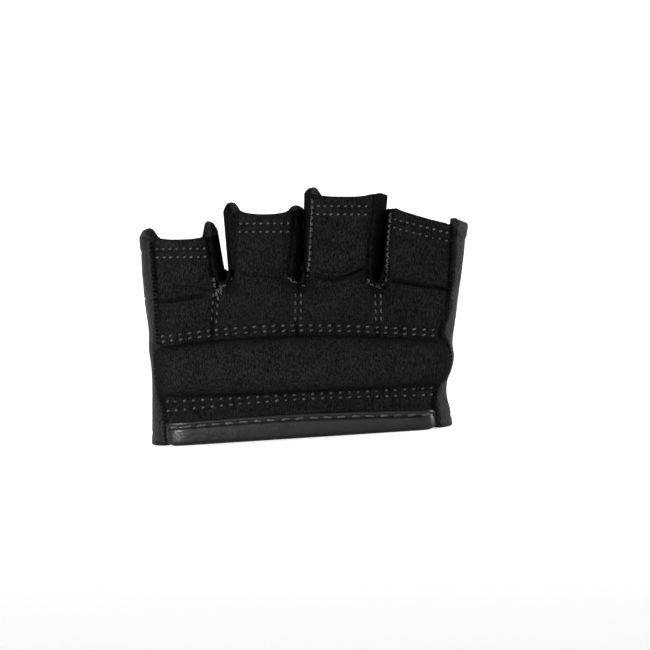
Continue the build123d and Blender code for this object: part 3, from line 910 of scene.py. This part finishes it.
def stall_foot(name, share, w):
    """Row-frame points on the sleeve's back at one stall's foot, from the thumb side (share 0) round."""
    stall, outer = STALLS[name], OUTER_SIDE.get(name)
    x_left, x_right = (to_row(seam_u(stall, side, 44.0), 0.0, w)[..., 0] for side in (LEFT, RIGHT))
    x = x_right + (x_left - x_right) * share
    from_seam, inner_x = (share, x_left) if outer == RIGHT else (1 - share, x_right)
    turning = from_seam < STALL_TURN_SHARE
    for _ in range(3):  # the outline depends on the height, and the height at w on x
        z = (w - x * LEAN_SIN) / LEAN_COS
        if outer:
            x_turn, y_turn = side_turn(outer, np.clip(from_seam / STALL_TURN_SHARE, 0, 1), z)
            inwards = np.clip((from_seam - STALL_TURN_SHARE) / (1 - STALL_TURN_SHARE), 0, 1)
            x_flat = flat_edge(outer, z) + (inner_x - flat_edge(outer, z)) * inwards
            x = np.where(turning, x_turn, x_flat)
    y = body_y(x, z, BACK_SIDE)
    if outer:
        y = np.where(turning, y_turn, y)
    for side, aside in ((RIGHT, share), (LEFT, 1 - share)):
        if outer != side:  # a valley between neighbouring stalls
            y = y - 1.6 * groove(aside * 22, 1.2)
    return to_row(to_finger(x, z)[0], y, w)


def stall_back(name):
    """The leather back of one stall, with its outer side on the little and index fingers."""
    stall, outer = STALLS[name], OUTER_SIDE.get(name)
    up, share = shares(50, 60)
    foot = BACK_SPLIT + 0.2
    near_w = foot + 28 * up  # near enough to the true height for the angles of the seams
    from_turn = seam_turn(stall, RIGHT, near_w) if outer == RIGHT else back_turn(RIGHT)
    to_turn = seam_turn(stall, LEFT, near_w) + 2 * math.pi if outer == LEFT else back_turn(LEFT)
    turn = from_turn + (to_turn - from_turn) * share
    rim = rim_at(stall, turn) - GAP
    w = foot + (rim - foot) * up
    u, y = tube_point(stall, turn, w)
    turned = smooth((w - BODY_ENDS) / (TUBE_STARTS - BODY_ENDS))[..., None]
    points = stall_foot(name, share, w) * (1 - turned) + to_row(u, y, w) * turned
    core = stall_core(stall, -3.0, 55.0)
    below = rim - w
    calm = 1 - groove(w - BACK_SPLIT, 4.0)
    ripple = 0.14 * calm * wobble(points, 6.5, 8.8) - 0.2 * groove(below - STALL_BACK_ROW)
    ripple = ripple + 0.25 * smooth((4.6 - below) / 0.5)
    points = points + grid_normals(points, core) * ripple[..., None]
    thick = LEATHER_THICK + 0.7 * smooth((5.2 - below) / 0.7)
    depths = [1.4 if outer == side else 0.0 for side in (RIGHT, LEFT)]
    piece = sheet(f"{name}_back_leather", sink(points, core, *depths), thick, core)
    return install(piece, LEATHER, "leather", f"{name}_back_sleeve", finger=name)


def lining():
    """The lining inside the back leather."""
    points = back_grid(30, 110, 0.01, 1.4, 3.0)
    points = points - grid_normals(points, BACK_CORE) * (LEATHER_THICK + 0.15)
    piece = sheet("back_lining_cloth", points, 0.55, BACK_CORE)
    return install(piece, LINING, "lining_fabric", "back_lining")


back_panel()
for finger in FINGERS:
    stall_back(finger)
lining()

KNUCKLE_LENGTH, KNUCKLE_BREADTH, KNUCKLE_RISE = 82.0, 25.0, 6.2
knuckle_low, knuckle_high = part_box("knuckle_pad_cover")
KNUCKLE_X = (knuckle_low.x + knuckle_high.x) / 2 / MM
KNUCKLE_Z = (knuckle_low.z + knuckle_high.z) / 2 / MM


def knuckle_place(across, up):
    """(x, z) of a place across and up from the knuckle pad's middle, turned with the fingers."""
    x = KNUCKLE_X + across * LEAN_COS + up * LEAN_SIN
    return x, KNUCKLE_Z + up * LEAN_COS - across * LEAN_SIN


def knuckle_pad():
    """The foam pad over the knuckles, in leather: a grid bent into a rounded rectangle, and domed."""
    up, side = shares(34, 90, -1, -1)
    across = side * KNUCKLE_LENGTH / 2 * (1 - 0.06 * np.abs(up) ** 5)
    rise = up * KNUCKLE_BREADTH / 2 * (1 - 0.16 * np.abs(side) ** 12)
    x, z = knuckle_place(across, rise)
    shape = dome((up + 1) / 2, (side + 1) / 2, KNUCKLE_BREADTH, KNUCKLE_LENGTH, 6.0)
    base = body_y(x, z, BACK_SIDE)
    outer = np.stack([x, base + 0.1 + shape * KNUCKLE_RISE, z], -1)
    outer[..., 1] += 0.25 * wobble(outer, 12, 1.7) * shape
    inner = np.stack([x, base - 0.9 * smooth(shape * 3), z], -1)
    piece = puff(pad_solid("knuckle_pad", outer, inner))
    return install(piece, LEATHER, "leather", "knuckle_pad_cover", "knuckle_pad_foam")


knuckle_pad()

# ---- binding ----
BINDING_THICK = 0.8
BINDING_INSIDE = 5.0  # height of the leaf inside the sleeve
BINDING_ROW = 1.15  # its stitches, below its upper edge


def binding():
    """The leather strip folded over the palm hem."""
    path, side = shares(40, 120)
    left, right = through(SIDE_SEAM[LEFT], 3.0) + 0.1, through(SIDE_SEAM[RIGHT], 3.0) - 0.1
    x = left + (right - left) * side
    ends = groove(x - left, 1.2) + 0.6 * groove(right - x, 1.0)
    x = x * (1 - 0.045 * smooth((path - 0.5) / 0.2))  # the leaf inside is shorter
    radius = (FABRIC + 2 * BINDING_THICK) / 2
    top = through(BINDING_TOP, x)
    down, under, up = 0.5, 0.3, 0.2  # shares of the path for the front, the fold and the inside
    in_front, bend, inside = (
        np.clip((path - start) / share, 0, 1)
        for start, share in ((0, down), (down, under), (down + under, up))
    )
    z = np.where(path < down, top - (top - radius) * in_front, radius * (1 - np.sin(bend * math.pi)))
    z = np.where(path > down + under, radius + (BINDING_INSIDE - radius) * inside, z)
    base = body_y(x, np.maximum(z, 1.0), PALM_SIDE) + FABRIC / 2
    y = base - radius * np.cos(bend * math.pi) - 0.15 * np.sin(math.pi * in_front)
    y = y + 0.5 * groove(top - BINDING_ROW - 0.1 - z, 0.5) * (path < down)
    points = np.stack([x, y + 0.9 * ends, z], -1)
    points[..., 1] += 0.1 * wobble(points, 5.0, 6.1)
    core = (0, float(base.mean()), 4.0)
    piece = sheet("hem_binding", sink(points, core, 0.4, 0.4, 1.0), BINDING_THICK, core)
    return install(piece, TRIM, "leather", "palm_hem_binding")


binding()

# ---- stitches ----
PALM_OUT, BACK_OUT = (0, -1, 0), (0, 1, 0)


def sewn(name, stitches, *nodes, finger=None):
    """A mesh of stitches that stands for CAD nodes, fixed to the sleeve unless a finger is given."""
    return install(threads(name, stitches), THREAD, "thread", *nodes, finger=finger)


def strip_at(x, z):
    """Name of the finger whose palm strip covers a place above the pad."""
    u, w = to_finger(x, z)
    for name in FINGERS[:-1]:
        if u < through(CHANNELS[name], w):
            return name
    return FINGERS[-1]


def upper_face(x, z):
    """Row-frame points on whichever palm strips lie above the pad."""
    x, z = np.broadcast_arrays(np.asarray(x, float), z)
    out = np.zeros(x.shape + (3,))
    for i in np.ndindex(x.shape):
        out[i] = palm_face(strip_at(x[i], z[i]), *to_finger(x[i], z[i]))
    return out


def binding_face(x, z):
    """Row-frame points on the front of the hem binding, in its groove."""
    x, z = np.broadcast_arrays(np.asarray(x, float), z)
    return np.stack([x, body_y(x, z, PALM_SIDE) - BINDING_THICK + 0.35, z], -1)


def knot_face(u, w):
    """Row-frame points just off the ring finger's strip, held clear of its left seam."""
    return palm_face("ring", np.maximum(u, -27.0), w) - np.array([0, 0.25, 0])


def seam_face(x, z):
    """Row-frame points along a side seam, which runs over the ends of the binding at the hem."""
    points = lower_face(x, z)
    points[..., 1] -= 0.4 * smooth((7.4 - points[..., 2]) / 0.8)
    return points


def plain_back_face(x, z):
    """Row-frame points on the back of the sleeve."""
    x, z = np.broadcast_arrays(np.asarray(x, float), z)
    return np.stack([x, body_y(x, z, BACK_SIDE), z], -1)


def hem_stitches(name):
    """The two rows round a stall's palm hem and the row on its back."""
    stall = STALLS[name]
    stitches = []
    side = np.linspace(-0.86, 0.86, 50)
    for number, drop in enumerate(HEM_ROWS):
        w = rim_chord(stall, side) - drop
        left, right = seam_u(stall, LEFT, w), seam_u(stall, RIGHT, w)
        u = left + (right - left) * (side + 1) / 2
        stitches += sew(partial(palm_face, name), u, w, PALM_OUT, 2.12, 0.85, 0.24, slant=18, seed=number)

    def back(turn, w):
        u, y = tube_point(stall, turn, w)
        return to_row(u, y + 0.1, w)

    turn = np.linspace(math.radians(60), math.radians(120), 30)
    stitches += sew(back, turn, rim_at(stall, turn) - STALL_BACK_ROW, BACK_OUT, 2.6, 1.7, seed=7)
    return sewn(f"{name}_hem_thread", stitches, f"{name}_hem_stitches", finger=name)


def pad_stitches():
    """The double rows above and below the palm pad."""
    upper, lower = [], []
    x = np.linspace(-42.4, 44.0, 160)
    for number, rise in enumerate(PAD_ROWS):
        z = through(PAD_TOP, x) + rise
        upper += sew(upper_face, x, z, PALM_OUT, 2.95, 1.1, 0.25, slant=16, seed=20 + number)
    x = np.linspace(-41.8, 41.6, 160)
    for number, row in enumerate(LOW_ROWS):
        z = through(row, x)
        lower += sew(lower_face, x, z, PALM_OUT, 2.85, 1.05, 0.25, slant=14, seed=30 + number)
    sewn("pad_upper_thread", upper, "pad_upper_stitches")
    sewn("pad_lower_thread", lower, "pad_lower_stitches")


def channel_stitches():
    """The double rows down between the fingers, each sewn through the strips beside it."""
    stitches = []
    w = np.linspace(35.6, 45.6, 50)
    for number, pair in enumerate(NEIGHBOURS):
        for side, name in zip((LEFT, RIGHT), pair):
            u = through(CHANNELS[pair[0]], w) + side * CHANNEL_ASIDE
            face = partial(palm_face, name)
            stitches += sew(face, u, w, PALM_OUT, 2.4, 1.1, 0.23, slant=10, seed=40 + number)
    sewn("channel_thread", stitches, "channel_stitches")


def overlock(name, side, low, high, seed):
    """Zigzag of thread over the cut edge of a palm strip, along one of its seams."""
    stitches = []
    for number, slant in enumerate((38, -38)):
        w = np.linspace(low + 0.6 * number, high, 240)
        u = seam_u(STALLS[name], side, w) - side * 0.55
        face = partial(palm_face, name)
        stitches += sew(face, u, w, PALM_OUT, 1.8, 1.35, 0.23, slant=slant, seed=seed + number)
    return stitches


def notch_stitches():
    """Overlock round the notches, and the knot of thread where the little finger's channel ends."""
    low, high = 45.8, 50.2
    stitches = []
    for number, (left_name, right_name) in enumerate(NEIGHBOURS):
        stitches += overlock(left_name, RIGHT, low, high, 60 + number)
        stitches += overlock(right_name, LEFT, low, high, 70 + number)
    pick = random.Random(11)
    for _ in range(24):
        along, aside = pick.uniform(0, 1), pick.uniform(-0.9, 0.9)
        u = np.array([0, 0.4]) - 27.2 + 2.6 * along + aside
        w = np.array([0, 0.4]) + 44.2 + 2.9 * along - 0.5 * aside
        slant, seed = pick.uniform(-90, 90), pick.randrange(999)
        stitches += sew(knot_face, u, w, PALM_OUT, 3.0, 0.9, 0.17, slant=slant, seed=seed)
    sewn("web_overlock_thread", stitches, "web_overlock_stitches")


def side_seam(name, face, a, b, seed, finger=None):
    """Close dark stitches over a side seam, slanting both ways."""
    stitches = []
    for number, slant in enumerate((55, -55)):
        stitches += sew(face, a, b, PALM_OUT, 1.25, 1.3, 0.24, slant=slant, seed=seed + number)
    return install(threads(name, stitches), SEAM_THREAD, "thread", finger=finger)


def side_seams():
    """The seams between palm and leather, from the hem to the rims of the little and index stalls."""
    for name, side in OUTER_SIDE.items():
        shift = -side * 0.15  # towards the palm
        top = float(through(PAD_TOP, side * 45)) - 0.9  # under the pad's edge
        z = np.linspace(0.9, top, 160)
        label = "left" if side == LEFT else "right"
        side_seam(f"{label}_side_seam_thread", seam_face, through(SIDE_SEAM[side], z) + shift, z, 100 + side)
        rim = float(front_rim(STALLS[name], side))
        w = np.linspace(to_finger(side * 45, top)[1] + 0.6, rim - 0.8, 240)
        u = seam_u(STALLS[name], side, w) + shift
        side_seam(f"{name}_side_seam_thread", partial(palm_face, name), u, w, 110 + side, name)


def knuckle_stitches():
    """The row round the knuckle pad, which follows a rounded rectangle."""
    turns = np.linspace(0, 2 * math.pi, 300)
    margin, power = 1.4, 0.28
    c, s = np.cos(turns), np.sin(turns)
    across = np.sign(c) * np.abs(c) ** power * (KNUCKLE_LENGTH / 2 + margin)
    up = np.sign(s) * np.abs(s) ** power * (KNUCKLE_BREADTH / 2 + margin)
    stitches = sew(plain_back_face, *knuckle_place(across, up), BACK_OUT, 3.0, 1.9, seed=90)
    sewn("knuckle_pad_thread", stitches, "knuckle_pad_stitches")


for finger in FINGERS:
    hem_stitches(finger)
pad_stitches()
hem_x = np.linspace(-41.6, 41.0, 120)
hem_z = through(BINDING_TOP, hem_x) - BINDING_ROW
sewn(
    "hem_binding_thread",
    sew(binding_face, hem_x, hem_z, PALM_OUT, 4.35, 2.8, 0.3, seed=5),
    "hem_binding_stitches",
)
channel_stitches()
notch_stitches()
for number, finger in enumerate(("middle", "index")):  # the overlocked edges that show beside the strips
    rim = float(front_rim(STALLS[finger], LEFT))
    sewn(f"{finger}_edge_thread", overlock(finger, LEFT, 48.6, rim - 1.0, 80 + number), finger=finger)
side_seams()
back_row = sew(back_face, np.linspace(0.22, 0.78, 120), BACK_ROW, BACK_OUT, 2.9, 1.8, seed=50)
sewn("back_hem_thread", back_row, "back_hem_stitches")
knuckle_stitches()


# ---- stage, light and camera ----
def backdrop():
    """A pale floor that curves up into a wall, a little brighter to the camera than its light makes it."""
    width, near, bend_at, radius, top = 3.0, -2.5, 0.9, 0.5, 2.2
    curve = np.linspace(0.1, math.pi / 2, 12)
    profile = [(near, 0.0), (bend_at, 0.0)]
    profile += [(bend_at + radius * math.sin(t), radius * (1 - math.cos(t))) for t in curve]
    profile.append((bend_at + radius, top))
    vertices = [(x, y, z) for y, z in profile for x in (-width, width)]
    faces = [(2 * i, 2 * i + 1, 2 * i + 3, 2 * i + 2) for i in range(len(profile) - 1)]
    mesh = bpy.data.meshes.new("backdrop")
    mesh.from_pydata(vertices, [], faces)
    mesh.shade_smooth()
    material, tree, shader = new_material("backdrop_paper")
    set_inputs(shader, Base_Color=(0.95, 0.95, 0.95, 1), Roughness=0.9, Emission_Color=(1, 1, 1, 1))
    seen = tree.nodes.new("ShaderNodeLightPath").outputs["Is Camera Ray"]
    tree.links.new(mix_values(tree, "MULTIPLY", seen, 0.64), shader.inputs["Emission Strength"])
    mesh.materials.append(material)
    add_object("backdrop", mesh)


def softbox(name, place, size, power, aim=(0, 0, 0.04)):
    """A rectangular area light facing the grip."""
    light = bpy.data.lights.new(name, "AREA")
    light.energy, light.shape, light.size, light.size_y = power, "RECTANGLE", size[0], size[1]
    lamp = add_object(name, light)
    lamp.visible_camera = False
    lamp.location = place
    lamp.rotation_euler = (Vector(aim) - Vector(place)).to_track_quat("-Z", "Y").to_euler()


def camera():
    """Looks straight at the palm, a touch from above, with the photograph's slight roll."""
    distance, across = 1.0, 0.2015  # metres to the grip, and seen across there
    data = bpy.data.cameras.new("camera")
    data.sensor_width = 36.0
    data.lens = data.sensor_width * distance / across
    aim = Vector((0.0093, FRONT_Y * MM, 0.0346))
    lift = math.radians(2.0)
    back = Vector((0, -math.cos(lift), math.sin(lift)))
    right = Vector((0.0645, 0, 0.998)).cross(back).normalized()
    turn = Matrix((right, back.cross(right), back)).transposed().to_4x4()
    lens = add_object("camera", data)
    lens.matrix_world = Matrix.Translation(aim + back * distance) @ turn
    bpy.context.scene.camera = lens


def daylight(strength):
    """A weak white light from all round."""
    world = bpy.data.worlds.new("studio")
    world.use_nodes = True
    set_inputs(world.node_tree.nodes["Background"], Color=(1, 1, 1, 1), Strength=strength)
    bpy.context.scene.world = world


backdrop()
softbox("left_soft", (-0.21, -0.25, 0.04), (0.12, 0.2), 1.3)
softbox("left_rim", (-0.4, 0.34, 0.08), (0.25, 0.4), 0.4)
softbox("right_soft", (0.5, 0.0, 0.12), (0.25, 0.4), 2.4)
softbox("front_soft", (-0.1, -1.4, 0.05), (0.8, 0.4), 1.1)
softbox("wall_soft", (0.0, 0.35, 1.3), (2.0, 0.6), 12.0, aim=(0, 1.3, 0.0))
daylight(0.07)
bpy.context.scene.view_settings.view_transform = "Standard"
camera()
